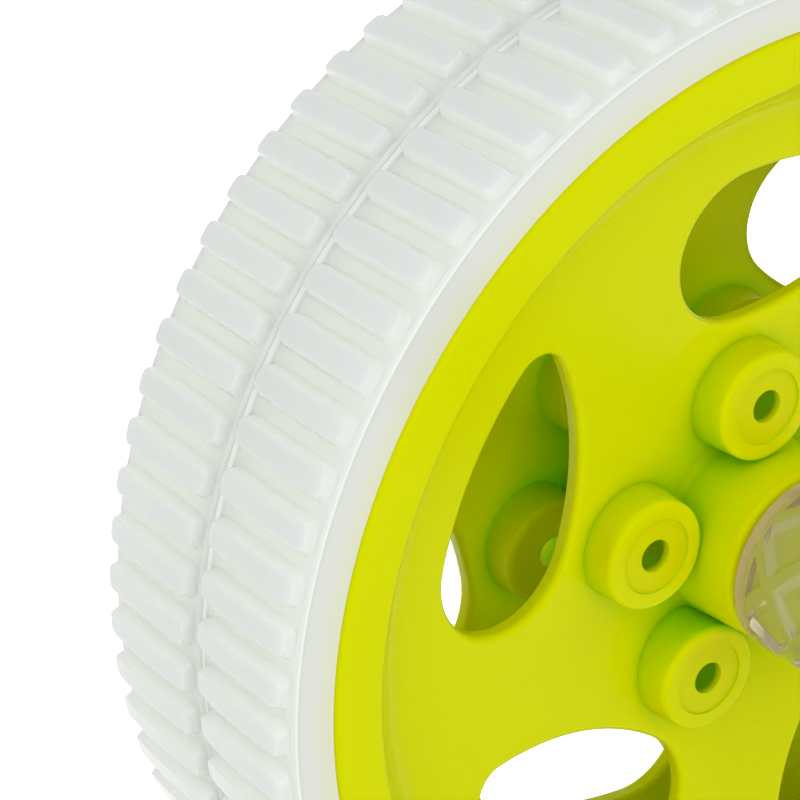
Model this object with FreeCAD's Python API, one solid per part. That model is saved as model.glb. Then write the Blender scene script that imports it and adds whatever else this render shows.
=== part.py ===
# Twin-wheel ab roller: two moulded wheels with rubber tyres, free on one steel axle, and a clear grip each side
import FreeCAD, Part
import math
import os

# All lengths are in millimetres and all angles in degrees
# The axle lies along Y, the roller's middle is the origin, and -Y is the right-hand side
# Angles about the axle run from +Z towards +X

# Axle, bushes and washers
axle_r = 6.0
running_clearance = 0.05
bush_wall = 1.9
bush_length = 9.0
bush_flange_height = 2.05
bush_flange_t = 1.0
washer_t = 0.6
washer_clearance = 0.1
end_float = 0.1

# Wheel: barrel, flange ring and dished web
barrel_r = 80.0
barrel_t = 2.6
barrel_width = 21.7
lip_height = 1.4
lip_width = 1.6
lip_round = 0.5
flange_height = 3.0
flange_t = 3.0
flange_ring_width = 8.0
flange_edge_round = 1.8
flange_inner_round = 1.0
dish_run = 5.0
dish_depth = 7.4
dish_round = 6.0
web_t = 2.6
inner_corner_round = 2.0

# Wheel: hub
hub_wall = 3.9
hub_draft = 1.2
hub_depth = 13.4
hub_stand = 0.5
hub_back_stand = 1.4
hub_edge_round = 1.3
hub_foot_round = 1.2
hub_bore_gap = 1.15

# Wheel: bosses around the hub, hollow from behind
boss_hub_gap = 0.7
boss_face_depth = 5.8
boss_face_r = 8.6
boss_draft = 0.6
boss_edge_round = 0.9
boss_wall = 2.0
boss_face_t = 1.7
boss_hole_r = 2.6
boss_ring_r = 6.0
boss_ring_depth = 0.3

# Wheel: windows, each a teardrop of four tangent arcs outside a boss
window_count = 5
window_margin = 10.1
window_boss_gap = 3.5
window_tip_r = 4.5
window_flank_r = 43.4
window_big_end_angle = 0.7
window_tip_angle = 29.5
window_edge_round = 0.9

# Wheel: back ribs, one behind each spoke
rib_t = 2.4
rib_angle = 46.0
rib_setback = 3.7

# Tyre: body ring and tread blocks
tyre_t = 9.4
tyre_proud = 0.2
tyre_overhang = 0.9
tyre_edge_round = 1.2
block_count = 76
block_height = 2.3
block_end_drop = 0.7
block_root = 1.0
block_inset = 1.0
block_top_width = 3.5
block_base_width = 4.8

# End screws and their washers
screw_r = 3.0
screw_clearance = 0.3
thread_clearance = 0.05
screw_thread_length = 16.0
screw_head_r = 5.6
screw_head_t = 3.4
screw_head_round = 1.0
screw_socket_r = 2.0
screw_socket_depth = 2.0
screw_washer_gap = 0.8
screw_washer_t = 1.0
screw_room = 3.6

# Handles
handle_length = 94.0
core_t = 3.55
core_clearance = 0.05
core_wall_t = 3.0
core_pocket_wall = 2.0
grip_t = 4.6
grip_collar_width = 2.9
grip_edge_round = 0.7
grip_rib_count = 6
grip_rib_width = 2.1
grip_rib_height = 0.7
grip_crossing_step = 6.0
grip_first_crossing = 6.8
grip_turn = -78.8
cap_setback = 0.4
cap_t = 3.2
cap_edge_round = 1.4
cap_plug_length = 5.0

# How the two wheels and their tyres stand when the roller is at rest
right_wheel_turn = -7.0
left_wheel_turn = 38.3
right_tread_turn = -0.2
left_tread_turn = 3.1

# How far every cut runs past the piece it cuts
overrun = 2.0

# Radii that follow from the pieces inside
bush_r = axle_r + running_clearance + bush_wall
bush_flange_r = bush_r + bush_flange_height
washer_r = bush_flange_r
hub_bore_r = axle_r + running_clearance + hub_bore_gap
hub_r = bush_flange_r + hub_wall
hub_base_r = hub_r + hub_draft
boss_circle_r = hub_r + boss_hub_gap + boss_face_r
flange_r = barrel_r + flange_height
flange_inner_r = flange_r - flange_ring_width
dish_r = flange_inner_r - dish_run
window_outer_r = dish_r - window_margin
window_inner_r = boss_circle_r + boss_face_r + boss_draft + window_boss_gap
window_big_end_r = (window_outer_r - window_inner_r) / 2
tyre_r = barrel_r + tyre_t
core_r = axle_r + core_clearance + core_t
core_pocket_r = core_r - core_pocket_wall
screw_washer_r = core_pocket_r - screw_washer_gap
grip_r = core_r + grip_t
cap_r = grip_r - cap_setback

# Lengths and places along the axle
hub_length = barrel_width + hub_stand + hub_back_stand
rib_depth = barrel_width - rib_setback
lip_start = barrel_width - lip_width
tyre_width = barrel_width + tyre_proud + tyre_overhang
wheel_pitch = hub_length + washer_t + 2 * end_float
hub_inner_y = washer_t / 2 + end_float
hub_outer_y = hub_inner_y + hub_length
right_flange_y = hub_stand - hub_outer_y
left_flange_y = right_flange_y + wheel_pitch
thrust_y = hub_outer_y + end_float
handle_y = thrust_y + washer_t
handle_end_y = handle_y + handle_length
screw_stack = core_wall_t + screw_washer_t + screw_head_t + screw_room
axle_end_y = handle_end_y - cap_plug_length - screw_stack

AXLE = FreeCAD.Vector(0, 1, 0)
CENTRE = FreeCAD.Vector(0, 0, 0)


def polar(radius, angle, y=0):
    """Point at a radius from the axle, at an angle from +Z towards +X."""
    turn = math.radians(angle)
    return FreeCAD.Vector(radius * math.sin(turn), y, radius * math.cos(turn))


def rounded_wire(corners):
    """Closed wire through (x, y, radius) corners in the XY plane, each corner rounded to its radius."""
    points = [FreeCAD.Vector(x, y, 0) for x, y, radius in corners]
    bends = []
    for index, corner in enumerate(corners):
        here = points[index]
        back = (points[index - 1] - here).normalize()
        ahead = (points[(index + 1) % len(points)] - here).normalize()
        half = back.getAngle(ahead) / 2
        reach = corner[2] / math.tan(half)
        inward = (back + ahead).normalize()
        sagitta = corner[2] / math.sin(half) - corner[2]
        bends.append((here + back * reach, here + inward * sagitta, here + ahead * reach, corner[2]))
    edges = []
    for index, (start, middle, end, radius) in enumerate(bends):
        edges.append(Part.LineSegment(bends[index - 1][2], start).toShape())
        if radius > 0:
            edges.append(Part.Arc(start, middle, end).toShape())
    return Part.Wire(edges)


def turned(corners):
    """Solid turned about the axle from (radius, y, corner radius) points."""
    return Part.Face(rounded_wire(corners)).revolve(CENTRE, AXLE, 360)


def tube(inner_r, outer_r, start_y, end_y):
    """Plain tube along the axle."""
    return turned([(inner_r, start_y, 0), (outer_r, start_y, 0), (outer_r, end_y, 0), (inner_r, end_y, 0)])


def rod(radius, start_y, end_y, x=0, z=0):
    """Plain cylinder parallel to the axle."""
    return Part.makeCylinder(radius, end_y - start_y, FreeCAD.Vector(x, start_y, z), AXLE)


def turn_about_axle(shape, angle):
    """Copy of a shape, turned about the axle."""
    copy = shape.copy()
    copy.rotate(CENTRE, AXLE, angle)
    return copy


def moved_along(shape, y):
    """Copy of a shape, moved along the axle."""
    copy = shape.copy()
    copy.translate(FreeCAD.Vector(0, y, 0))
    return copy


def mirrored(shape):
    """The same piece on the other side of the roller's middle."""
    return shape.mirror(CENTRE, AXLE)


def save(shape, node):
    """Write one piece to its STEP file."""
    shape.exportStep("parts/" + node + ".step")


def web_front(radius):
    """Depth of the web's front face behind the flange plane, at a radius."""
    slope = (hub_depth - dish_depth) / (dish_r - hub_base_r)
    return dish_depth + (dish_r - radius) * slope


def wheel_shell():
    """Flange, dished web, barrel and hub as one turned shape, with the flange plane at y = 0."""
    barrel_inner_r = barrel_r - barrel_t
    hub_back = hub_length - hub_stand
    return turned([
        (hub_bore_r, -hub_stand, 0),
        (hub_r, -hub_stand, hub_edge_round),
        (hub_base_r, hub_depth, hub_foot_round),
        (dish_r, dish_depth, dish_round),
        (flange_inner_r, 0, flange_inner_round),
        (flange_r, 0, flange_edge_round),
        (flange_r, flange_t, 0),
        (barrel_r, flange_t, 0),
        (barrel_r, lip_start, 0),
        (barrel_r + lip_height, lip_start, 0),
        (barrel_r + lip_height, barrel_width, lip_round),
        (barrel_inner_r, barrel_width, lip_round),
        (barrel_inner_r, web_front(barrel_inner_r) + web_t, inner_corner_round),
        (hub_r, web_front(hub_r) + web_t, inner_corner_round),
        (hub_r, hub_back, hub_edge_round),
        (hub_bore_r, hub_back, 0),
    ])


def window_cutter():
    """Teardrop prism that cuts one window through the web."""
    big_end = polar(window_outer_r - window_big_end_r, window_big_end_angle)
    tip = polar(window_outer_r - window_tip_r, window_tip_angle)
    span = tip - big_end
    to_big = window_flank_r - window_big_end_r
    to_tip = window_flank_r - window_tip_r
    along = (to_big ** 2 - to_tip ** 2 + span.Length ** 2) / (2 * span.Length)
    aside = math.sqrt(to_big ** 2 - along ** 2)
    forward = span.normalize()
    outward = forward.cross(AXLE)
    flank = big_end + forward * along + outward * aside
    flank_start = tip + (tip - flank).normalize() * window_tip_r
    flank_end = big_end + (big_end - flank).normalize() * window_big_end_r
    flank_middle = flank + (flank_start + flank_end - flank * 2).normalize() * window_flank_r
    outer_start = polar(window_outer_r, window_big_end_angle)
    outer_middle = polar(window_outer_r, (window_big_end_angle + window_tip_angle) / 2)
    outer_end = polar(window_outer_r, window_tip_angle)
    tip_middle = tip + (outer_end + flank_start - tip * 2).normalize() * window_tip_r
    big_middle = big_end + (outer_start + flank_end - big_end * 2).normalize() * window_big_end_r
    wire = Part.Wire([
        Part.Arc(outer_start, outer_middle, outer_end).toShape(),
        Part.Arc(outer_end, tip_middle, flank_start).toShape(),
        Part.Arc(flank_start, flank_middle, flank_end).toShape(),
        Part.Arc(flank_end, big_middle, outer_start).toShape(),
    ])
    return Part.Face(wire).extrude(AXLE * (hub_depth + web_t + overrun))


def boss_body():
    """One drafted boss that stands on the web, at the top of the boss circle."""
    foot = web_front(boss_circle_r + boss_face_r) + web_t
    foot_r = boss_face_r + boss_draft
    boss = turned([
        (0, boss_face_depth, 0),
        (boss_face_r, boss_face_depth, boss_edge_round),
        (foot_r, foot, 0),
        (0, foot, 0),
    ])
    boss.translate(polar(boss_circle_r, 0))
    return boss


def boss_hollow():
    """The space inside one boss: cavity from behind, screw hole and the shallow round recess on its face."""
    back = hub_depth + web_t + overrun
    cavity_start = boss_face_depth + boss_face_t
    cavity = rod(boss_face_r - boss_wall, cavity_start, back, z=boss_circle_r)
    hole = rod(boss_hole_r, boss_face_depth - overrun, cavity_start + overrun, z=boss_circle_r)
    recess = rod(boss_ring_r, boss_face_depth - overrun, boss_face_depth + boss_ring_depth, z=boss_circle_r)
    return cavity.fuse(hole).fuse(recess)


def back_rib():
    """One radial rib behind a spoke, from the hub to the barrel."""
    inner_r = (hub_bore_r + hub_r) / 2
    outer_r = barrel_r - barrel_t / 2
    outline = Part.makePolygon([
        FreeCAD.Vector(-rib_t / 2, web_front(inner_r) + web_t / 2, inner_r),
        FreeCAD.Vector(-rib_t / 2, web_front(outer_r) + web_t / 2, outer_r),
        FreeCAD.Vector(-rib_t / 2, rib_depth, outer_r),
        FreeCAD.Vector(-rib_t / 2, rib_depth, inner_r),
        FreeCAD.Vector(-rib_t / 2, web_front(inner_r) + web_t / 2, inner_r),
    ])
    return Part.Face(outline).extrude(FreeCAD.Vector(rib_t, 0, 0))


def bush_seats():
    """Counterbores for the two flanged bushes, at both ends of the hub."""
    front = -hub_stand
    back = hub_length - hub_stand
    seats = rod(bush_r, front - overrun, front + bush_length)
    seats = seats.fuse(rod(bush_flange_r, front - overrun, front + bush_flange_t))
    seats = seats.fuse(rod(bush_r, back - bush_length, back + overrun))
    return seats.fuse(rod(bush_flange_r, back - bush_flange_t, back + overrun))


def window_front_edges(shape):
    """Edges where the windows meet the front face of the web."""
    found = []
    for edge in shape.Edges:
        middle = edge.valueAt((edge.FirstParameter + edge.LastParameter) / 2)
        radius = math.hypot(middle.x, middle.z)
        on_front = abs(middle.y - web_front(radius)) < web_t / 4
        on_window = window_inner_r - overrun < radius < window_outer_r + overrun
        if on_front and on_window:
            found.append(edge)
    return found


def wheel():
    """One moulded wheel with its flange plane at y = 0 and a boss at angle 0."""
    pitch = 360 / window_count
    shape = wheel_shell()
    shape = shape.multiFuse([turn_about_axle(back_rib(), rib_angle + k * pitch) for k in range(window_count)])
    shape = shape.cut([turn_about_axle(window_cutter(), k * pitch) for k in range(window_count)])
    shape = shape.removeSplitter()
    shape = shape.makeFillet(window_edge_round, window_front_edges(shape))
    shape = shape.multiFuse([turn_about_axle(boss_body(), k * pitch) for k in range(window_count)])
    shape = shape.cut([turn_about_axle(boss_hollow(), k * pitch) for k in range(window_count)])
    return shape.cut(bush_seats())


def tyre_body():
    """The plain ring of the tyre, seated on the barrel between flange and lip."""
    lip_r = barrel_r + lip_height
    back = tyre_width - tyre_proud
    return turned([
        (flange_r, -tyre_proud, 0),
        (tyre_r, -tyre_proud, tyre_edge_round),
        (tyre_r, back, tyre_edge_round),
        (lip_r, back, 0),
        (lip_r, lip_start, 0),
        (barrel_r, lip_start, 0),
        (barrel_r, flange_t, 0),
        (flange_r, flange_t, 0),
    ])


def tread_band():
    """Ring that all the blocks are cut from, crowned across the tyre's width."""
    front = block_inset - tyre_proud
    back = tyre_width - tyre_proud - block_inset
    root_r = tyre_r - block_root
    crown_r = tyre_r + block_height
    inner_front = FreeCAD.Vector(root_r, front, 0)
    inner_back = FreeCAD.Vector(root_r, back, 0)
    outer_front = FreeCAD.Vector(crown_r - block_end_drop, front, 0)
    outer_back = FreeCAD.Vector(crown_r - block_end_drop, back, 0)
    crown = FreeCAD.Vector(crown_r, (front + back) / 2, 0)
    outline = Part.Wire([
        Part.LineSegment(inner_back, inner_front).toShape(),
        Part.LineSegment(inner_front, outer_front).toShape(),
        Part.Arc(outer_front, crown, outer_back).toShape(),
        Part.LineSegment(outer_back, inner_back).toShape(),
    ])
    return Part.Face(outline).revolve(CENTRE, AXLE, 360)


def block_wedge():
    """Long wedge across the top of the tyre, narrower outwards, that gives one block its flanks."""
    half_root = block_base_width / 2
    half_top = block_top_width / 2
    low = tyre_r - block_root - overrun
    high = tyre_r + block_height + overrun
    corners = [(-half_root, low), (half_root, low), (half_top, high), (-half_top, high)]
    points = [FreeCAD.Vector(x, -overrun, z) for x, z in corners]
    return Part.Face(Part.makePolygon(points + points[:1])).extrude(AXLE * (tyre_width + 2 * overrun))


def tyre():
    """One tyre with its row of blocks, first block at angle 0."""
    pitch = 360 / block_count
    wedges = [turn_about_axle(block_wedge(), k * pitch) for k in range(block_count)]
    blocks = tread_band().common(Part.makeCompound(wedges))
    return tyre_body().fuse(blocks)


def bush():
    """Flanged bush for the right wheel's outer hub end, at its place along the axle."""
    bore = axle_r + running_clearance
    return turned([
        (bore, -hub_outer_y, 0),
        (bush_flange_r, -hub_outer_y, 0),
        (bush_flange_r, bush_flange_t - hub_outer_y, 0),
        (bush_r, bush_flange_t - hub_outer_y, 0),
        (bush_r, bush_length - hub_outer_y, 0),
        (bore, bush_length - hub_outer_y, 0),
    ])


def inner_bush():
    """Flanged bush for the right wheel's inner hub end."""
    return moved_along(mirrored(bush()), -hub_outer_y - hub_inner_y)


def axle_rod():
    """Steel rod with a tapped hole in each end."""
    hole_r = screw_r + thread_clearance
    hole_length = screw_thread_length + overrun
    shape = rod(axle_r, -axle_end_y, axle_end_y)
    shape = shape.cut(rod(hole_r, -axle_end_y - overrun, hole_length - axle_end_y))
    return shape.cut(rod(hole_r, axle_end_y - hole_length, axle_end_y + overrun))


def handle_core():
    """Left handle core: sleeve on the axle, a wall that the screw clamps and a pocket behind the cap."""
    wall_end = axle_end_y + core_wall_t
    return turned([
        (axle_r + core_clearance, handle_y, 0),
        (core_r, handle_y, 0),
        (core_r, handle_end_y, 0),
        (core_pocket_r, handle_end_y, 0),
        (core_pocket_r, wall_end, 0),
        (screw_r + screw_clearance, wall_end, 0),
        (screw_r + screw_clearance, axle_end_y, 0),
        (axle_r + core_clearance, axle_end_y, 0),
    ])


def grip_diamond():
    """Diamond prism between four crossing ribs, at angle 0 and y = 0."""
    half_across = math.pi * grip_r / grip_rib_count
    half_along = grip_crossing_step
    to_rib_line = half_across * half_along / math.hypot(half_across, half_along)
    open_share = 1 - grip_rib_width / 2 / to_rib_line
    across = half_across * open_share
    along = half_along * open_share
    corners = [(-across, 0), (0, -along), (across, 0), (0, along), (-across, 0)]
    outline = Part.makePolygon([FreeCAD.Vector(x, y, core_r) for x, y in corners])
    return Part.Face(outline).extrude(FreeCAD.Vector(0, 0, grip_r - core_r + overrun))


def grip_pockets():
    """Shallow diamond pockets between two plain end collars, which leave the crossing ribs standing."""
    start = handle_y + grip_collar_width
    end = handle_end_y - grip_collar_width
    rows = math.ceil(handle_length / grip_crossing_step) + 1
    diamonds = []
    for row in range(rows):
        for k in range(grip_rib_count):
            angle = grip_turn + (k + row % 2 / 2) * 360 / grip_rib_count
            diamond = turn_about_axle(grip_diamond(), angle)
            diamonds.append(moved_along(diamond, handle_y + grip_first_crossing + (row - 1) * grip_crossing_step))
    band = tube(grip_r - grip_rib_height, grip_r + overrun, start, end)
    return band.common(Part.makeCompound(diamonds))


def grip():
    """Left clear grip: sleeve on the core with a plain collar at each end and crossing ribs between."""
    sleeve = turned([
        (core_r, handle_y, 0),
        (grip_r, handle_y, grip_edge_round),
        (grip_r, handle_end_y, grip_edge_round),
        (core_r, handle_end_y, 0),
    ])
    return sleeve.cut(grip_pockets())


def screw_washer():
    """Left washer under the end screw's head."""
    start = axle_end_y + core_wall_t
    return tube(screw_r + screw_clearance, screw_washer_r, start, start + screw_washer_t)


def end_screw():
    """Left end screw: shank in the axle's tapped hole and a round head with a socket."""
    seat = axle_end_y + core_wall_t + screw_washer_t
    top = seat + screw_head_t
    shape = turned([
        (0, axle_end_y - screw_thread_length, 0),
        (screw_r, axle_end_y - screw_thread_length, 0),
        (screw_r, seat, 0),
        (screw_head_r, seat, 0),
        (screw_head_r, top, screw_head_round),
        (0, top, 0),
    ])
    socket = Part.Face(Part.makePolygon(
        [polar(screw_socket_r, k * 60, top - screw_socket_depth) for k in range(7)]))
    return shape.cut(socket.extrude(AXLE * (screw_socket_depth + overrun)))


def end_cap():
    """Left end cap: a rounded disc with a plug that fits the core's pocket."""
    plug_start = handle_end_y - cap_plug_length
    return turned([
        (0, plug_start, 0),
        (core_pocket_r, plug_start, 0),
        (core_pocket_r, handle_end_y, 0),
        (cap_r, handle_end_y, 0),
        (cap_r, handle_end_y + cap_t, cap_edge_round),
        (0, handle_end_y + cap_t, 0),
    ])


def thrust_washer():
    """Left washer between hub and handle."""
    return tube(axle_r + washer_clearance, washer_r, thrust_y, handle_y)


def main():
    """Build every piece in place and write its file."""
    os.makedirs("parts", exist_ok=True)
    one_wheel = wheel()
    one_tyre = tyre()
    sides = {
        "right": (right_flange_y, right_wheel_turn, right_tread_turn),
        "left": (left_flange_y, left_wheel_turn, left_tread_turn),
    }
    for side, (flange_y, wheel_turn, tread_turn) in sides.items():
        save(moved_along(turn_about_axle(one_wheel, wheel_turn), flange_y), side + "_wheel")
        save(moved_along(turn_about_axle(one_tyre, tread_turn), flange_y), side + "_tyre")
    save(bush(), "right_wheel_outer_bush")
    save(inner_bush(), "right_wheel_inner_bush")
    save(mirrored(inner_bush()), "left_wheel_inner_bush")
    save(mirrored(bush()), "left_wheel_outer_bush")
    save(axle_rod(), "axle_rod")
    save(tube(axle_r + washer_clearance, washer_r, -washer_t / 2, washer_t / 2), "centre_washer")
    pairs = {
        "thrust_washer": thrust_washer(),
        "handle_core": handle_core(),
        "grip": grip(),
        "screw_washer": screw_washer(),
        "end_screw": end_screw(),
        "end_cap": end_cap(),
    }
    for name, left_piece in pairs.items():
        save(left_piece, "left_" + name)
        save(mirrored(left_piece), "right_" + name)


main()
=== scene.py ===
"""Looks of the twin-wheel ab roller: its finishes, its modelled tyres and grips, and the studio around it."""
import logging
import math
from dataclasses import dataclass
from enum import Enum
from typing import Any, Iterable, Optional

import bmesh
import bpy
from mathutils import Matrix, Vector


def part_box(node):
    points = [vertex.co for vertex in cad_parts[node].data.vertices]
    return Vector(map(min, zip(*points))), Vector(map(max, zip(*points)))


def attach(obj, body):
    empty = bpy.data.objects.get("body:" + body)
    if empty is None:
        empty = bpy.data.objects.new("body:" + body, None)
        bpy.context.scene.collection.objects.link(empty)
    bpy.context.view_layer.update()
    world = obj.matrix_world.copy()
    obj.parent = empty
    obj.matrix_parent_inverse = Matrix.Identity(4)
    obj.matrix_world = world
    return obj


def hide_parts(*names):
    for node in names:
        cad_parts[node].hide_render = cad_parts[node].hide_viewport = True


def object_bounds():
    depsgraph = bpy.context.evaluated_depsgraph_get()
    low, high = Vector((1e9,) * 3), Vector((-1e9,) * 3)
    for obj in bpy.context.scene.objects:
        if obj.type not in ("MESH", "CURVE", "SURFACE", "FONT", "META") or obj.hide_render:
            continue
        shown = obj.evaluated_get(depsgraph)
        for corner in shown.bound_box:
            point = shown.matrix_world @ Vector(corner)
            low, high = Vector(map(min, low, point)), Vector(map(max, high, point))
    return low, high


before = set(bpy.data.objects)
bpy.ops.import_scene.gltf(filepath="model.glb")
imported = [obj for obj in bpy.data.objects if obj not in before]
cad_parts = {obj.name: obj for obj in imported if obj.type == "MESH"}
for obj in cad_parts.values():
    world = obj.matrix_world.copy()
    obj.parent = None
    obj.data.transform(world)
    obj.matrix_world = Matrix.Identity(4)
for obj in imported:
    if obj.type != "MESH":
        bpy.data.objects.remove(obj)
CAD_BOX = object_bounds()

LOG = logging.getLogger("ab_roller")

# One millimetre in scene units
MM = 0.001
# Vertices nearer than this, in millimetres, are one vertex
WELD = 0.002
AXLE = Vector((0, 1, 0))
# Faces that meet at more than this angle keep a crisp edge
SHARP = math.radians(40)
# Rays that feel for near walls around one point
CREVICE_SAMPLES = 8
# Sockets of a Mix node in colour mode, whose names its other modes share
MIX_FROM, MIX_TO, MIX_COLOUR = 6, 7, 2
WHITE = "ffffff"


class Side(Enum):
    """The two ends of the roller: right is -Y, left is +Y."""

    RIGHT = "right"
    LEFT = "left"

    @property
    def sign(self) -> int:
        """Direction of this side along the axle."""
        return -1 if self is Side.RIGHT else 1


class Body(Enum):
    """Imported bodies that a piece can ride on."""

    HANDLES = "handle_set"
    RIGHT_WHEEL = "right_wheel_set"
    LEFT_WHEEL = "left_wheel_set"


def linear(hex_colour: str) -> tuple[float, float, float, float]:
    """Turn an sRGB hex colour into a linear one.

    Args:
        hex_colour: six hex digits, such as "d8da02".

    Returns:
        Linear red, green and blue, with an alpha of 1.
    """
    shares = [int(hex_colour[i:i + 2], 16) / 255 for i in (0, 2, 4)]
    red, green, blue = [s / 12.92 if s <= 0.04045 else ((s + 0.055) / 1.055) ** 2.4 for s in shares]
    return red, green, blue, 1.0


def add_node(tree: bpy.types.NodeTree, kind: str, settings: Optional[dict[Any, Any]] = None,
             links: Optional[dict[Any, bpy.types.NodeSocket]] = None) -> bpy.types.Node:
    """Add one node to a tree.

    Args:
        tree: node tree of a material or the world.
        kind: node type without its "ShaderNode" prefix.
        settings: values by property name, input name or input number.
        links: output sockets to join, by input name or number.

    Returns:
        The new node.
    """
    node = tree.nodes.new("ShaderNode" + kind)
    for name, value in (settings or {}).items():
        if isinstance(name, str) and hasattr(node, name):
            setattr(node, name, value)
        else:
            node.inputs[name].default_value = value
    for name, socket in (links or {}).items():
        tree.links.new(socket, node.inputs[name])
    return node


def per_mm(size: float) -> float:
    """Texture scale that gives a pattern a real size in millimetres."""
    return 1 / (size * MM)


class Finish:
    """A material under way: its tree, its object coordinates and its shader."""

    def __init__(self, name: str, settings: dict[str, Any]) -> None:
        """Start a material.

        Args:
            name: what the real material is and how its surface was made.
            settings: values for the shader's own sockets.
        """
        self.material = bpy.data.materials.new(name)
        self.material.use_nodes = True
        self.tree = self.material.node_tree
        self.tree.nodes.clear()
        self.place = add_node(self.tree, "TexCoord").outputs["Object"]
        self.shader = add_node(self.tree, "BsdfPrincipled", settings)
        add_node(self.tree, "OutputMaterial", links={"Surface": self.shader.outputs["BSDF"]})

    def feed(self, socket: str, source: bpy.types.NodeSocket) -> None:
        """Link a texture to one of the shader's sockets."""
        self.tree.links.new(source, self.shader.inputs[socket])

    def noise(self, size: float, detail: float = 2.0, stretch: tuple[float, float, float] = (1, 1, 1)
              ) -> bpy.types.NodeSocket:
        """Add a noise pattern on object coordinates.

        Args:
            size: width of one patch, in millimetres.
            detail: octaves of finer noise.
            stretch: how many times longer the patches are along each axis.

        Returns:
            The noise value socket.
        """
        shrink = tuple(1 / times for times in stretch)
        place = add_node(self.tree, "Mapping", {"Scale": shrink}, {"Vector": self.place})
        texture = add_node(self.tree, "TexNoise", {"Scale": per_mm(size), "Detail": detail},
                           {"Vector": place.outputs["Vector"]})
        return texture.outputs["Fac"]

    def spread(self, value: bpy.types.NodeSocket, low: float, high: float,
               start: float = 0.3, end: float = 0.7) -> bpy.types.NodeSocket:
        """Map a pattern's usual range to a range of values.

        Args:
            value: pattern value.
            low: result at the start of the range.
            high: result at its end.
            start: pattern value that gives low.
            end: pattern value that gives high.

        Returns:
            The mapped value socket.
        """
        ends = {"From Min": start, "From Max": end, "To Min": low, "To Max": high}
        return add_node(self.tree, "MapRange", ends, {"Value": value}).outputs["Result"]

    def tint(self, share: bpy.types.NodeSocket, from_hex: str, to_hex: str) -> bpy.types.NodeSocket:
        """Blend two colours by a pattern.

        Args:
            share: 0 gives the first colour and 1 the second.
            from_hex: first sRGB colour.
            to_hex: second sRGB colour.

        Returns:
            The blended colour socket.
        """
        colours = {"data_type": "RGBA", MIX_FROM: linear(from_hex), MIX_TO: linear(to_hex)}
        return add_node(self.tree, "Mix", colours, {0: share}).outputs[MIX_COLOUR]

    def cover(self, colour: bpy.types.NodeSocket, share: bpy.types.NodeSocket, to_hex: str
              ) -> bpy.types.NodeSocket:
        """Blend a patterned colour into a plain one.

        Args:
            colour: patterned colour.
            share: 0 keeps it and 1 gives the plain colour.
            to_hex: plain sRGB colour.

        Returns:
            The blended colour socket.
        """
        plain = {"data_type": "RGBA", MIX_TO: linear(to_hex)}
        return add_node(self.tree, "Mix", plain, {0: share, MIX_FROM: colour}).outputs[MIX_COLOUR]

    def bands(self, value: bpy.types.NodeSocket, stops: list[tuple[float, str]]) -> bpy.types.NodeSocket:
        """Blend colours along a measured length.

        Args:
            value: length in metres.
            stops: length in millimetres and sRGB colour of each stop, in rising order.

        Returns:
            The blended colour socket.
        """
        low, high = stops[0][0], stops[-1][0]
        ramp = add_node(self.tree, "ValToRGB", links={0: self.spread(value, 0, 1, low * MM, high * MM)})
        marks = ramp.color_ramp.elements
        while len(marks) < len(stops):
            marks.new(1.0)
        for mark, (length, colour) in zip(marks, stops):
            mark.position = (length - low) / (high - low)
            mark.color = linear(colour)
        return ramp.outputs["Color"]

    def crevice(self, reach: float) -> bpy.types.NodeSocket:
        """Find how closed-in the surface is.

        Args:
            reach: how far, in millimetres, a wall still counts as near.

        Returns:
            A socket that is 1 in the open and falls to 0 in a closed corner.
        """
        walls = {"samples": CREVICE_SAMPLES, "only_local": True, "Distance": reach * MM}
        return add_node(self.tree, "AmbientOcclusion", walls).outputs["AO"]

    def axle_distance(self) -> bpy.types.NodeSocket:
        """Measure how far the surface is from the axle, in metres."""
        flat = add_node(self.tree, "VectorMath", {"operation": "MULTIPLY", 1: (1, 0, 1)}, {0: self.place})
        length = add_node(self.tree, "VectorMath", {"operation": "LENGTH"}, {0: flat.outputs[0]})
        return length.outputs["Value"]

    def axle_place(self) -> bpy.types.NodeSocket:
        """Measure how far the surface is from the roller's middle along the axle, in metres."""
        along = add_node(self.tree, "SeparateXYZ", links={0: self.place}).outputs["Y"]
        return add_node(self.tree, "Math", {"operation": "ABSOLUTE"}, {0: along}).outputs[0]

    def emboss(self, height: bpy.types.NodeSocket, depth: float, strength: float) -> None:
        """Raise a pattern on the surface.

        Args:
            height: pattern value.
            depth: height of the pattern in millimetres.
            strength: share of the effect.
        """
        bump = add_node(self.tree, "Bump", {"Strength": strength, "Distance": depth * MM}, {"Height": height})
        self.feed("Normal", bump.outputs["Normal"])


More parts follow.
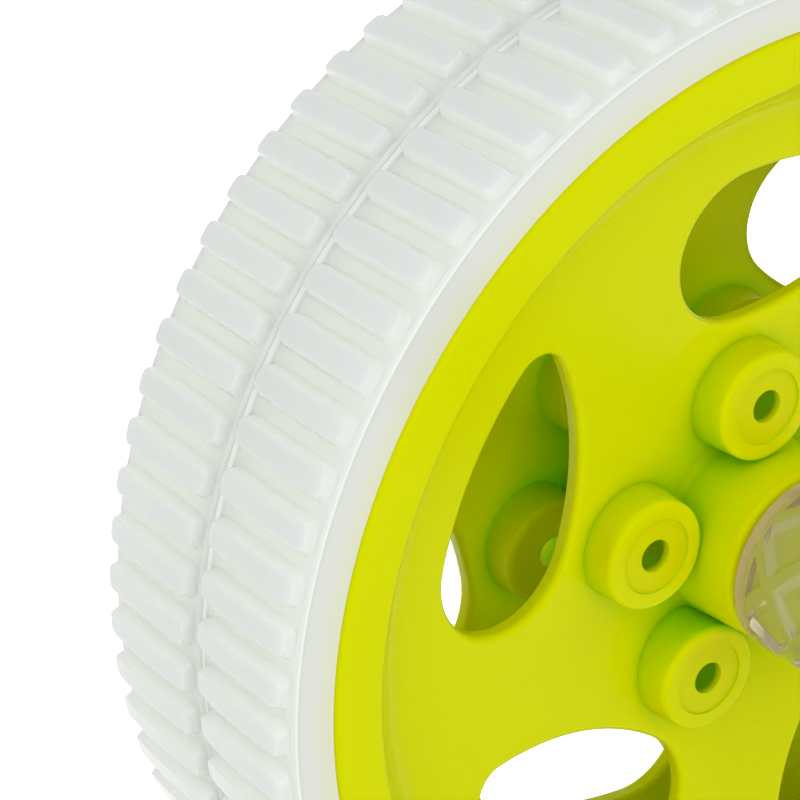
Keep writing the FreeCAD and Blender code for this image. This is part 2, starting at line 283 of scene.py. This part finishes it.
@dataclass(frozen=True)
class MouldedLimePlastic:
    """Injection-moulded ABS in lime green."""

    colour: str = "dce300"
    # Painted shade: windows and corners turn to this darker green instead of the plain colour
    painted_shade_colour: str = "94d000"
    gloss_colour: str = "fff200"
    gloss_level: float = 0.1
    ior: float = 1.5
    roughness: tuple[float, float] = (0.2, 0.25)
    crevice_reach_mm: float = 20.0
    painted_shade_openness: tuple[float, float] = (0.1, 0.75)
    soak_openness: tuple[float, float] = (0.9, 0.98)
    soak_radius: tuple[float, float, float] = (0.65, 1.0, 0.1)
    soak_mm: float = 7.0
    flow_mm: float = 40.0
    # The mould's own grain is finer, and is drawn this coarse so that it shows
    grain_mm: float = 0.7
    grain_depth_mm: float = 0.004
    grain_strength: float = 0.2

    def make(self) -> bpy.types.Material:
        """Build the material: an even satin lime in the open, with painted shade in windows and corners.

        There the colour turns a darker green, and only there light also soaks into the plastic.

        Returns:
            The finished material.
        """
        finish = Finish("moulded_lime_abs", {
            "IOR": self.ior,
            "Specular IOR Level": self.gloss_level,
            "Specular Tint": linear(self.gloss_colour),
            "Subsurface Radius": self.soak_radius,
            "Subsurface Scale": self.soak_mm * MM,
        })
        openness = finish.crevice(self.crevice_reach_mm)
        # Painted shade mask: 1 where walls close in, 0 in the open
        closed = finish.spread(openness, 1, 0, *self.painted_shade_openness)
        flow = finish.noise(self.flow_mm, detail=1)
        grain = finish.noise(self.grain_mm)
        finish.feed("Base Color", finish.tint(closed, self.colour, self.painted_shade_colour))
        finish.feed("Subsurface Weight", finish.spread(openness, 1, 0, *self.soak_openness))
        finish.feed("Roughness", finish.spread(flow, *self.roughness))
        finish.emboss(grain, self.grain_depth_mm, self.grain_strength)
        return finish.material


@dataclass(frozen=True)
class MilkyRubber:
    """Moulded translucent thermoplastic rubber. Each ring of colour is given by its radius in mm."""

    rim_edge: tuple[float, str] = (83.0, "ece5d6")
    beside_rim: tuple[float, str] = (83.3, "e4e8c9")
    near_rim: tuple[float, str] = (84.6, "e4e8d2")
    inner_side: tuple[float, str] = (86.2, "e5e8e0")
    side: tuple[float, str] = (88.0, "e4e7e1")
    # The shoulder rings are a painted highlight: a thin palest ring, with a darker ring of painted shade just
    # below it
    shoulder_painted_shade: tuple[float, str] = (88.5, "dbdfd8")
    shoulder: tuple[float, str] = (88.75, "fafdf8")
    above_shoulder: tuple[float, str] = (89.0, "e6eae4")
    block: tuple[float, str] = (91.2, "dfe4e2")
    # Painted light: grooves and other closed-in places get this paler colour, and blocks a darker one, to
    # offset the grooves' shade
    painted_groove_light: str = "f8fff2"
    painted_groove_light_reach_mm: float = 6.0
    painted_groove_light_openness: tuple[float, float] = (0.45, 0.95)
    ior: float = 1.45
    roughness: tuple[float, float] = (0.15, 0.2)
    soak_start_mm: float = 89.2
    soak_full_mm: float = 89.5
    soak_radius: tuple[float, float, float] = (1.0, 1.0, 1.0)
    soak_mm: float = 7.0
    cloud_mm: float = 12.0
    # The mould's own grain is finer, and is drawn this coarse so that it shows
    grain_mm: float = 0.9
    grain_depth_mm: float = 0.005
    grain_strength: float = 0.2

    def make(self) -> bpy.types.Material:
        """Build the material: a milky gloss with the rim's green showing through beside it.

        Light soaks into the tread. Grooves get painted light, a paler colour that offsets their shade, and
        the shoulder gets a painted highlight, a thin palest ring above a ring of painted shade.

        Returns:
            The finished material.
        """
        finish = Finish("moulded_milky_rubber", {
            "IOR": self.ior,
            "Subsurface Radius": self.soak_radius,
            "Subsurface Scale": self.soak_mm * MM,
        })
        cloud = finish.noise(self.cloud_mm)
        grain = finish.noise(self.grain_mm)
        radius = finish.axle_distance()
        rings = finish.bands(radius, [
            self.rim_edge, self.beside_rim, self.near_rim, self.inner_side, self.side,
            self.shoulder_painted_shade, self.shoulder, self.above_shoulder, self.block])
        # Painted light mask: 1 where walls close in, such as grooves, 0 in the open
        closed = finish.spread(finish.crevice(self.painted_groove_light_reach_mm), 1, 0, *self.painted_groove_light_openness)
        soak = finish.spread(radius, 0, 1, self.soak_start_mm * MM, self.soak_full_mm * MM)
        finish.feed("Base Color", finish.cover(rings, closed, self.painted_groove_light))
        finish.feed("Subsurface Weight", soak)
        finish.feed("Roughness", finish.spread(cloud, *self.roughness))
        finish.emboss(grain, self.grain_depth_mm, self.grain_strength)
        return finish.material


@dataclass(frozen=True)
class ClearVinyl:
    """Moulded clear soft PVC."""

    body: str = "eee9d6"
    thick_end: str = "f0cdbc"
    end_mm: float = 2.9
    end_clearness: float = 0.45
    body_clearness: float = 0.8
    ior: float = 1.5
    roughness: tuple[float, float] = (0.05, 0.1)
    cloud_mm: float = 5.0
    cloud_depth_mm: float = 0.03
    cloud_strength: float = 0.3

    def make(self) -> bpy.types.Material:
        """Build the material: see-through with a warm cast, slightly wavy from the mould.

        Its thick end beside the wheel is pinker, because it is seen edge on, and less clear.

        Returns:
            The finished material.
        """
        finish = Finish("moulded_clear_vinyl", {"IOR": self.ior})
        cloud = finish.noise(self.cloud_mm)
        start, end = sorted(abs(corner.y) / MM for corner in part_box("right_grip"))
        collar_end = start + self.end_mm
        place = finish.axle_place()
        clearness = finish.spread(place, self.end_clearness, self.body_clearness, start * MM, collar_end * MM)
        finish.feed("Transmission Weight", clearness)
        finish.feed("Base Color", finish.bands(place, [
            (start, self.thick_end), (collar_end, self.body), (end - self.end_mm, self.body),
            (end, self.thick_end)]))
        finish.feed("Roughness", finish.spread(cloud, *self.roughness))
        finish.emboss(cloud, self.cloud_depth_mm, self.cloud_strength)
        return finish.material


@dataclass(frozen=True)
class DrawnSteel:
    """Cold-drawn bright steel bar."""

    bright: str = "c9cbcd"
    dull: str = "b4b6b9"
    roughness: tuple[float, float] = (0.22, 0.38)
    # Draw lines are finer, and are drawn this coarse so that they show
    line_mm: float = 0.5
    line_stretch: float = 40.0
    line_depth_mm: float = 0.01
    line_strength: float = 0.4

    def make(self) -> bpy.types.Material:
        """Build the material: fine draw lines along the bar stretch its highlights.

        Returns:
            The finished material.
        """
        finish = Finish("drawn_steel_bar", {"Metallic": 1.0})
        lines = finish.noise(self.line_mm, detail=3, stretch=(1, self.line_stretch, 1))
        finish.feed("Base Color", finish.tint(finish.spread(lines, 0, 1), self.bright, self.dull))
        finish.feed("Roughness", finish.spread(lines, *self.roughness))
        finish.emboss(lines, self.line_depth_mm, self.line_strength)
        return finish.material


@dataclass(frozen=True)
class ZincPlatedSteel:
    """Zinc-plated pressed steel."""

    bright: str = "d2d5da"
    bluish: str = "bcc2cc"
    roughness: tuple[float, float] = (0.2, 0.36)
    spangle_mm: float = 1.6
    spangle_depth_mm: float = 0.01
    spangle_strength: float = 0.3

    def make(self) -> bpy.types.Material:
        """Build the material: a bluish white metal with a cloudy, slightly uneven shine.

        Returns:
            The finished material.
        """
        finish = Finish("zinc_plated_steel", {"Metallic": 1.0})
        spangle = finish.noise(self.spangle_mm, detail=4)
        finish.feed("Base Color", finish.tint(finish.spread(spangle, 0, 1), self.bright, self.bluish))
        finish.feed("Roughness", finish.spread(spangle, *self.roughness))
        finish.emboss(spangle, self.spangle_depth_mm, self.spangle_strength)
        return finish.material


@dataclass(frozen=True)
class TurnedAcetal:
    """Acetal turned or punched to size."""

    name: str
    pale: str
    warm: str
    mark_mm: float
    mark_stretch: float = 3.0
    mark_depth_mm: float = 0.02
    mark_strength: float = 0.4
    ior: float = 1.48
    roughness: tuple[float, float] = (0.38, 0.5)
    soak_weight: float = 0.1
    soak_mm: float = 1.0

    def make(self) -> bpy.types.Material:
        """Build the material: a waxy off-white with faint tool marks.

        Returns:
            The finished material.
        """
        finish = Finish(self.name, {
            "IOR": self.ior,
            "Subsurface Weight": self.soak_weight,
            "Subsurface Scale": self.soak_mm * MM,
        })
        marks = finish.noise(self.mark_mm, detail=3, stretch=(1, self.mark_stretch, 1))
        finish.feed("Base Color", finish.tint(finish.spread(marks, 0, 1), self.pale, self.warm))
        finish.feed("Roughness", finish.spread(marks, *self.roughness))
        finish.emboss(marks, self.mark_depth_mm, self.mark_strength)
        return finish.material


class Finishes:
    """All the materials, by the record's slot names."""

    def __init__(self) -> None:
        """Build each material once."""
        self.by_slot = {
            "lime_plastic": MouldedLimePlastic().make(),
            "translucent_rubber": MilkyRubber().make(),
            "clear_grip": ClearVinyl().make(),
            "steel_axle": DrawnSteel().make(),
            "zinc_steel": ZincPlatedSteel().make(),
            "acetal_bush": TurnedAcetal("turned_acetal", "e6e6de", "dcdccf", mark_mm=0.8).make(),
            "acetal_washer": TurnedAcetal("punched_acetal", "e2e2da", "d6d6ca", mark_mm=1.4).make(),
        }

    def dress(self, piece: bpy.types.Object, slot: str) -> None:
        """Give a whole piece one finish.

        Args:
            piece: mesh object.
            slot: name of the record's material slot.
        """
        piece.data.materials.clear()
        piece.data.materials.append(self.by_slot[slot])


def everything(bm: bmesh.types.BMesh) -> list:
    """List all the elements of a mesh."""
    return bm.verts[:] + bm.edges[:] + bm.faces[:]


def pull_edges(bm: bmesh.types.BMesh, edges: Iterable[bmesh.types.BMEdge]
               ) -> tuple[list[bmesh.types.BMVert], list[bmesh.types.BMEdge]]:
    """Extrude edges in place, ready to be moved.

    Args:
        bm: mesh to work on.
        edges: edges to extrude.

    Returns:
        The new vertices and the new outer edges.
    """
    made = bmesh.ops.extrude_edge_only(bm, edges=list(edges))["geom"]
    verts = [item for item in made if isinstance(item, bmesh.types.BMVert)]
    kept = set(verts)
    rim = [item for item in made if isinstance(item, bmesh.types.BMEdge) and kept.issuperset(item.verts)]
    return verts, rim


def soften(bm: bmesh.types.BMesh, edges: Iterable[bmesh.types.BMEdge], radius: float, segments: int) -> None:
    """Round edges with a bevel.

    Args:
        bm: mesh to work on.
        edges: edges to round.
        radius: size of the round.
        segments: faces across the round.
    """
    bmesh.ops.bevel(bm, geom=list(edges), offset=radius, offset_type="OFFSET", segments=segments, profile=0.5,
                    affect="EDGES", clamp_overlap=False, material=-1)


def array(bm: bmesh.types.BMesh, copies: int, step: Vector) -> None:
    """Repeat a whole mesh in a straight row.

    Args:
        bm: mesh to work on.
        copies: how many copies stand in the row.
        step: move from one copy to the next.
    """
    bmesh.ops.spin(bm, geom=everything(bm), cent=(0, 0, 0), axis=(0, 0, 1), dvec=step, angle=0,
                   steps=copies - 1, use_duplicate=True)
    bmesh.ops.remove_doubles(bm, verts=bm.verts, dist=WELD)


def wrap(bm: bmesh.types.BMesh, radius: float, turn: float) -> None:
    """Bend a flat mesh round the axle: x becomes the way round, z the height above the radius.

    Args:
        bm: mesh to work on.
        radius: radius at which x keeps its length.
        turn: angle of x = 0, from +Z towards +X, in radians.
    """
    for vert in bm.verts:
        angle = turn + vert.co.x / radius
        reach = radius + vert.co.z
        vert.co = Vector((reach * math.sin(angle), vert.co.y, reach * math.cos(angle)))


def finish_mesh(bm: bmesh.types.BMesh, name: str) -> bpy.types.Object:
    """Close a millimetre mesh and make it an object of the scene.

    Args:
        bm: mesh to use up.
        name: name of the piece.

    Returns:
        The new object, at the origin.
    """
    bmesh.ops.remove_doubles(bm, verts=bm.verts, dist=WELD)
    bmesh.ops.dissolve_degenerate(bm, dist=WELD, edges=bm.edges)
    bmesh.ops.recalc_face_normals(bm, faces=bm.faces)
    bmesh.ops.scale(bm, vec=(MM, MM, MM), verts=bm.verts)
    for face in bm.faces:
        face.smooth = True
    for edge in bm.edges:
        edge.smooth = edge.calc_face_angle(0) < SHARP
    mesh = bpy.data.meshes.new(name)
    bm.to_mesh(mesh)
    bm.free()
    piece = bpy.data.objects.new(name, mesh)
    bpy.context.scene.collection.objects.link(piece)
    even = piece.modifiers.new("even_shading", "WEIGHTED_NORMAL")
    even.keep_sharp = True
    return piece


@dataclass
class Tyre:
    """One tyre: a ring with rounded shoulders and a row of crowned tread blocks across it.

    Lengths are in mm and the tread's turn is in degrees. A shoulder has its run along the axle and its drop.
    The seam lip, which nearly closes the gap between the tyres, has its reach and the drop of each face.
    """

    side: Side
    body: Body
    tread_turn: float
    block_count: int = 76
    block_height: float = 2.3
    block_end_drop: float = 0.55
    block_top_width: float = 3.7
    block_base_width: float = 4.9
    block_end_draft: float = 0.15
    block_inset: float = 1.05
    block_corner: float = 1.1
    block_corner_steps: int = 3
    block_edge_round: float = 0.24
    block_edge_steps: int = 3
    block_foot_round: float = 0.4
    block_foot_steps: int = 2
    crown_cuts: int = 7
    front_shoulder: tuple[float, float] = (0.7, 1.1)
    back_shoulder: tuple[float, float] = (0.95, 0.4)
    seam_lip: tuple[float, float, float] = (1.5, 0.65, 6.0)
    shoulder_steps: int = 5
    flange_height: float = 3.0
    flange_depth: float = 3.2
    lip_height: float = 1.4
    lip_setback: float = 2.5
    wall: float = 9.4

    def __post_init__(self) -> None:
        """Take the tyre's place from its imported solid."""
        low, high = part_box(self.node)
        self.front = low.y / MM
        self.width = (high.y - low.y) / MM
        self.floor_r = high.z / MM - self.block_height
        self.pitch = 2 * math.pi * self.floor_r / self.block_count
        self.block_reach = self.width / 2 - self.block_inset

    @property
    def node(self) -> str:
        """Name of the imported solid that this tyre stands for."""
        return self.side.value + "_tyre"

    def _tread_end(self, back: bool) -> float:
        """Find where the tread floor ends and a shoulder starts, from the tyre's middle."""
        return self.width / 2 - self.back_shoulder[0] if back else self.front_shoulder[0] - self.width / 2

    def _block(self, bm: bmesh.types.BMesh) -> None:
        """Raise one block from a flat piece of tread floor, one pitch long and as wide as the flat tread.

        Args:
            bm: empty mesh to fill.
        """
        half_base = self.block_base_width / 2
        half_top = self.block_top_width / 2
        top_reach = self.block_reach - self.block_end_draft
        signs = ((-1, -1), (1, -1), (1, 1), (-1, 1))
        corners = [(x * half_top, y * top_reach, self.block_height) for x, y in signs]
        top = bm.faces.new([bm.verts.new(corner) for corner in corners])
        bmesh.ops.bevel(bm, geom=top.verts[:], offset=self.block_corner, offset_type="OFFSET",
                        segments=self.block_corner_steps, profile=0.5, affect="VERTICES", clamp_overlap=False,
                        material=-1)
        top_edges = bm.edges[:]
        foot, foot_edges = pull_edges(bm, top_edges)
        for vert in foot:
            vert.co = Vector((vert.co.x * half_base / half_top, vert.co.y * self.block_reach / top_reach, 0))
        rim, _ = pull_edges(bm, foot_edges)
        for vert in rim:
            on_flank = abs(vert.co.y) < self.block_reach - self.block_corner / 2
            on_end = abs(vert.co.x) < half_base - self.block_corner
            if not on_end:
                vert.co.x = math.copysign(self.pitch / 2, vert.co.x)
            if not on_flank:
                vert.co.y = self._tread_end(vert.co.y > 0)
        soften(bm, foot_edges, self.block_foot_round, self.block_foot_steps)
        crest = [edge for edge in bm.edges if all(v.co.z > self.block_height - WELD for v in edge.verts)]
        soften(bm, crest, self.block_edge_round, self.block_edge_steps)
        bmesh.ops.remove_doubles(bm, verts=bm.verts, dist=WELD)

    def _crown(self, bm: bmesh.types.BMesh) -> None:
        """Let the block fall away towards both shoulders.

        Args:
            bm: mesh of one flat block.
        """
        for cut in range(1, self.crown_cuts + 1):
            y = self.block_reach * (2 * cut / (self.crown_cuts + 1) - 1)
            bmesh.ops.bisect_plane(bm, geom=everything(bm), dist=WELD, plane_co=(0, y, 0), plane_no=AXLE)
        drop = self.block_end_drop / self.block_height
        for vert in bm.verts:
            vert.co.z *= 1 - drop * (vert.co.y / self.block_reach) ** 2

    def _shoulders(self, bm: bmesh.types.BMesh) -> None:
        """Round both shoulders, then carry the section down to the seat on the rim and close it.

        Args:
            bm: mesh of one flat block.
        """
        edges = {}
        for sign, (run, drop) in ((-1, self.front_shoulder), (1, self.back_shoulder)):
            end = self._tread_end(sign > 0)
            edges[sign] = [edge for edge in bm.edges if all(abs(v.co.y - end) < WELD for v in edge.verts)]
            for step in range(1, self.shoulder_steps + 1):
                verts, edges[sign] = pull_edges(bm, edges[sign])
                angle = math.pi / 2 * step / self.shoulder_steps
                for vert in verts:
                    vert.co.y = end + sign * run * math.sin(angle)
                    vert.co.z = drop * (math.cos(angle) - 1)
        half = self.width / 2
        flange_y = self.flange_depth - half
        lip_y = half - self.lip_setback
        seat = -self.wall
        flange_z = seat + self.flange_height
        lip_z = seat + self.lip_height
        sections = {
            -1: [(-half, flange_z), (flange_y, flange_z), (flange_y, seat)],
            1: [(half, lip_z), (lip_y, lip_z), (lip_y, seat), (flange_y, seat)],
        }
        if self.side is Side.RIGHT:
            reach, drop, under = self.seam_lip
            tip_y = half + reach
            sections[1] = [(half, -drop), (tip_y, -drop), (tip_y, -under), (half, -under)] + sections[1]
        for sign, stations in sections.items():
            for y, z in stations:
                verts, edges[sign] = pull_edges(bm, edges[sign])
                for vert in verts:
                    vert.co.y = y
                    vert.co.z = z

    def build(self, finishes: Finishes) -> bpy.types.Object:
        """Model the tyre, dress it and set it on its wheel.

        Args:
            finishes: the materials.

        Returns:
            The finished piece.
        """
        bm = bmesh.new()
        self._block(bm)
        self._crown(bm)
        self._shoulders(bm)
        wrap(bm, self.floor_r, math.radians(self.tread_turn))
        bmesh.ops.translate(bm, vec=AXLE * (self.front + self.width / 2), verts=bm.verts)
        share = (self.block_count - 1) / self.block_count
        bmesh.ops.spin(bm, geom=everything(bm), cent=(0, 0, 0), axis=AXLE, angle=2 * math.pi * share,
                       steps=self.block_count - 1, use_duplicate=True)
        piece = finish_mesh(bm, self.side.value + "_treaded_tyre")
        finishes.dress(piece, "translucent_rubber")
        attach(piece, self.body.value)
        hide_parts(self.node)
        return piece


@dataclass
class Grip:
    """One clear grip: a sleeve with crossing ribs between two collars. Lengths in mm, angle in degrees."""

    side: Side
    rib_starts: int = 6
    rib_width: float = 2.1
    rib_height: float = 1.2
    rib_flank: float = 0.75
    rib_edge_round: float = 0.4
    rib_foot_round: float = 0.5
    rib_round_steps: int = 2
    crossing_step: float = 6.0
    first_crossing: float = 6.8
    first_angle: float = -78.8
    bend_cuts: int = 8
    collar: float = 2.9
    edge_round: float = 0.7
    edge_steps: int = 4
    bore_overlap: float = 0.05

    def __post_init__(self) -> None:
        """Take the grip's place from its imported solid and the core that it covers."""
        low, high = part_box(self.node)
        self.radius = high.z / MM
        near = high.y if self.side is Side.RIGHT else low.y
        far = low.y if self.side is Side.RIGHT else high.y
        self.start = abs(near) / MM
        self.end = abs(far) / MM
        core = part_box(self.side.value + "_handle_core")[1]
        self.bore_r = core.z / MM - self.bore_overlap
        self.across = math.pi * self.radius / self.rib_starts

    @property
    def node(self) -> str:
        """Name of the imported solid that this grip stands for."""
        return self.side.value + "_grip"

    def _diamond(self, bm: bmesh.types.BMesh) -> None:
        """Model one diamond of the pattern: half a rib along each side and a shallow pocket between.

        Args:
            bm: empty mesh to fill.
        """
        along = self.crossing_step
        corners = [(-self.across, 0), (0, -along), (self.across, 0), (0, along)]
        pocket = bm.faces.new([bm.verts.new((x, y, 0)) for x, y in corners])
        bmesh.ops.recalc_face_normals(bm, faces=bm.faces)
        bmesh.ops.inset_region(bm, faces=[pocket], thickness=self.rib_width / 2, use_boundary=True,
                               use_even_offset=True)
        crest = pocket.edges[:]
        bmesh.ops.inset_region(bm, faces=[pocket], thickness=self.rib_flank, use_boundary=True,
                               use_even_offset=True)
        bmesh.ops.translate(bm, vec=(0, 0, -self.rib_height), verts=pocket.verts)
        soften(bm, crest, self.rib_edge_round, self.rib_round_steps)
        foot = [edge for edge in bm.edges if all(v.co.z < WELD - self.rib_height for v in edge.verts)]
        soften(bm, foot, self.rib_foot_round, self.rib_round_steps)
        for cut in range(1, self.bend_cuts):
            x = self.across * (2 * cut / self.bend_cuts - 1)
            bmesh.ops.bisect_plane(bm, geom=everything(bm), dist=WELD, plane_co=(x, 0, 0), plane_no=(1, 0, 0))

    def _net(self, bm: bmesh.types.BMesh) -> None:
        """Repeat the diamond over the sleeve and trim it at the two collars.

        Args:
            bm: mesh of one flat diamond.
        """
        along = self.crossing_step
        array(bm, 2, Vector((self.across, along, 0)))
        array(bm, self.rib_starts, Vector((2 * self.across, 0, 0)))
        array(bm, math.ceil((self.end - self.start) / (2 * along)) + 1, Vector((0, 2 * along, 0)))
        bmesh.ops.translate(bm, vec=AXLE * (self.start + self.first_crossing - along), verts=bm.verts)
        for y, outward in ((self.start + self.collar, -AXLE), (self.end - self.collar, AXLE)):
            bmesh.ops.bisect_plane(bm, geom=everything(bm), dist=WELD, plane_co=(0, y, 0), plane_no=outward,
                                   clear_outer=True)

    def _carry(self, bm: bmesh.types.BMesh, edges: list[bmesh.types.BMEdge],
               stations: list[tuple[float, float]]) -> list[bmesh.types.BMEdge]:
        """Carry a ring of edges along the sleeve's section.

        Args:
            bm: mesh to work on.
            edges: ring to start from.
            stations: y and radius of each next ring.

        Returns:
            The last ring.
        """
        for y, radius in stations:
            verts, edges = pull_edges(bm, edges)
            for vert in verts:
                flat = Vector((vert.co.x, 0, vert.co.z)).normalized() * radius
                vert.co = Vector((flat.x, y, flat.z))
        return edges

    def _collars(self, bm: bmesh.types.BMesh) -> None:
        """Add both collars with their rounded ends, and the bore between them.

        Args:
            bm: mesh of the wrapped net, open at both collars.
        """
        rings = []
        for edge_y, inward in ((self.start, 1), (self.end, -1)):
            collar_y = edge_y + inward * self.collar
            open_edges = [edge for edge in bm.edges if edge.is_boundary]
            ring = [edge for edge in open_edges if all(abs(v.co.y - collar_y) < WELD for v in edge.verts)]
            stations = [(collar_y, self.radius)]
            for step in range(self.edge_steps + 1):
                angle = math.pi / 2 * step / self.edge_steps
                y = edge_y + inward * self.edge_round * (1 - math.sin(angle))
                stations.append((y, self.radius - self.edge_round * (1 - math.cos(angle))))
            stations.append((edge_y, self.bore_r))
            rings.append(self._carry(bm, ring, stations))
        bmesh.ops.bridge_loops(bm, edges=rings[0] + rings[1])

    def build(self, finishes: Finishes) -> bpy.types.Object:
        """Model the grip, dress it and set it on its core.

        Args:
            finishes: the materials.

        Returns:
            The finished piece.
        """
        bm = bmesh.new()
        self._diamond(bm)
        self._net(bm)
        wrap(bm, self.radius, math.radians(self.first_angle))
        bmesh.ops.remove_doubles(bm, verts=bm.verts, dist=WELD)
        self._collars(bm)
        bmesh.ops.scale(bm, vec=(1, self.side.sign, 1), verts=bm.verts)
        piece = finish_mesh(bm, self.side.value + "_ribbed_grip")
        finishes.dress(piece, "clear_grip")
        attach(piece, Body.HANDLES.value)
        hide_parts(self.node)
        return piece


@dataclass(frozen=True)
class Softbox:
    """One square studio lamp that faces the roller. Angles in degrees, lengths in metres, power in watts."""

    name: str
    azimuth: float
    height: float
    distance: float
    size: float
    power: float
    colour: str = WHITE

    def build(self) -> bpy.types.Object:
        """Hang the lamp and aim it at the roller's middle.

        Returns:
            The lamp object.
        """
        lamp = bpy.data.lights.new(self.name, "AREA")
        lamp.shape = "SQUARE"
        lamp.size = self.size
        lamp.energy = self.power
        lamp.color = linear(self.colour)[:3]
        piece = bpy.data.objects.new(self.name, lamp)
        turn = math.radians(self.azimuth)
        lift = math.radians(self.height)
        place = Vector((math.sin(turn) * math.cos(lift), -math.cos(turn) * math.cos(lift), math.sin(lift)))
        piece.location = place * self.distance
        piece.rotation_euler = place.to_track_quat("Z", "Y").to_euler()
        bpy.context.scene.collection.objects.link(piece)
        return piece


@dataclass
class Studio:
    """Pale floor, white surroundings, soft lamps and the camera.

    The floor's size is in metres, the camera's place, lens and sensor are in mm and its angles in degrees.
    """

    key: Softbox = Softbox("key_softbox", azimuth=-25, height=24, distance=1.2, size=1.4, power=5.6)
    left: Softbox = Softbox("left_softbox", azimuth=250, height=30, distance=1.2, size=1.2, power=1.2)
    floor_size: float = 6.0
    floor_colour: str = "f2f2f0"
    floor_lift: float = 0.7
    fill: float = 0.66
    fill_colour: str = WHITE
    camera_place: tuple[float, float, float] = (-252.2, -284.1, 199.8)
    camera_azimuth: float = -34.65
    camera_drop: float = 25.94
    lens: float = 124.1
    sensor_width: float = 36.0

    def _seen_white(self, tree: bpy.types.NodeTree) -> bpy.types.NodeSocket:
        """Find rays that see the surroundings: straight, in a reflection or through clear plastic.

        Args:
            tree: node tree to add to.

        Returns:
            A socket that is 1 for such rays and 0 for all others.
        """
        path = add_node(tree, "LightPath").outputs
        mirror = add_node(tree, "Math", {"operation": "MAXIMUM"},
                          {0: path["Is Camera Ray"], 1: path["Is Glossy Ray"]})
        seen = add_node(tree, "Math", {"operation": "MAXIMUM"},
                        {0: mirror.outputs[0], 1: path["Is Transmission Ray"]})
        return seen.outputs[0]

    def _world(self) -> None:
        """Make the surroundings white to look at and a soft fill for the light."""
        world = bpy.data.worlds.new("white_studio")
        world.use_nodes = True
        tree = world.node_tree
        tree.nodes.clear()
        seen = self._seen_white(tree)
        light = add_node(tree, "Background", {"Color": linear(self.fill_colour), "Strength": self.fill})
        white = add_node(tree, "Background", {"Color": linear(WHITE), "Strength": 1.0})
        blend = add_node(tree, "MixShader", links={0: seen, 1: light.outputs[0], 2: white.outputs[0]})
        add_node(tree, "OutputWorld", links={"Surface": blend.outputs[0]})
        bpy.context.scene.world = world

    def _floor(self) -> None:
        """Lay the floor that the roller stands on; it looks white and keeps the shadow."""
        bm = bmesh.new()
        bmesh.ops.create_grid(bm, x_segments=1, y_segments=1, size=self.floor_size / 2)
        bmesh.ops.translate(bm, vec=(0, 0, CAD_BOX[0][2]), verts=bm.verts)
        mesh = bpy.data.meshes.new("studio_floor")
        bm.to_mesh(mesh)
        bm.free()
        floor = bpy.data.objects.new("studio_floor", mesh)
        bpy.context.scene.collection.objects.link(floor)
        material = bpy.data.materials.new("pale_floor")
        material.use_nodes = True
        tree = material.node_tree
        tree.nodes.clear()
        paint = add_node(tree, "BsdfDiffuse", {"Color": linear(self.floor_colour)})
        seen = self._seen_white(tree)
        lift = add_node(tree, "Math", {"operation": "MULTIPLY", 1: self.floor_lift}, {0: seen})
        glow = add_node(tree, "Emission", {"Color": linear(WHITE)}, {"Strength": lift.outputs[0]})
        both = add_node(tree, "AddShader", links={0: paint.outputs[0], 1: glow.outputs[0]})
        add_node(tree, "OutputMaterial", links={"Surface": both.outputs[0]})
        mesh.materials.append(material)

    def _camera(self) -> None:
        """Stand the camera where the photograph was taken from."""
        lens = bpy.data.cameras.new("photo_camera")
        lens.lens = self.lens
        lens.sensor_width = self.sensor_width
        camera = bpy.data.objects.new("photo_camera", lens)
        camera.location = Vector(self.camera_place) * MM
        camera.rotation_euler = (math.radians(90 - self.camera_drop), 0, math.radians(self.camera_azimuth))
        bpy.context.scene.collection.objects.link(camera)
        bpy.context.scene.camera = camera

    def build(self) -> None:
        """Set up the studio."""
        self._world()
        self._floor()
        self._camera()
        self.key.build()
        self.left.build()
        bpy.context.scene.view_settings.view_transform = "Standard"


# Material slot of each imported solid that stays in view, by its name without its side
NODE_SLOTS = {
    "axle_rod": "steel_axle",
    "centre_washer": "acetal_washer",
    "wheel": "lime_plastic",
    "wheel_outer_bush": "acetal_bush",
    "wheel_inner_bush": "acetal_bush",
    "thrust_washer": "acetal_washer",
    "handle_core": "lime_plastic",
    "screw_washer": "zinc_steel",
    "end_screw": "zinc_steel",
    "end_cap": "lime_plastic",
}


def dress_packed_nodes(finishes: Finishes) -> None:
    """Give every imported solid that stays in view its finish.

    Args:
        finishes: the materials.
    """
    for node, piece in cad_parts.items():
        kind = node.removeprefix("right_").removeprefix("left_")
        if kind in NODE_SLOTS:
            finishes.dress(piece, NODE_SLOTS[kind])
            LOG.info("%s dressed as %s", node, NODE_SLOTS[kind])


def main() -> None:
    """Build the looks in order: finishes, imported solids, tyres, grips, studio."""
    logging.basicConfig(level=logging.INFO)
    finishes = Finishes()
    dress_packed_nodes(finishes)
    tyres = (Tyre(Side.RIGHT, Body.RIGHT_WHEEL, tread_turn=-0.2),
             Tyre(Side.LEFT, Body.LEFT_WHEEL, tread_turn=3.1))
    for tyre in tyres:
        LOG.info("%s modelled", tyre.build(finishes).name)
    for side in Side:
        LOG.info("%s modelled", Grip(side).build(finishes).name)
    Studio().build()


if __name__ == "__main__":
    main()
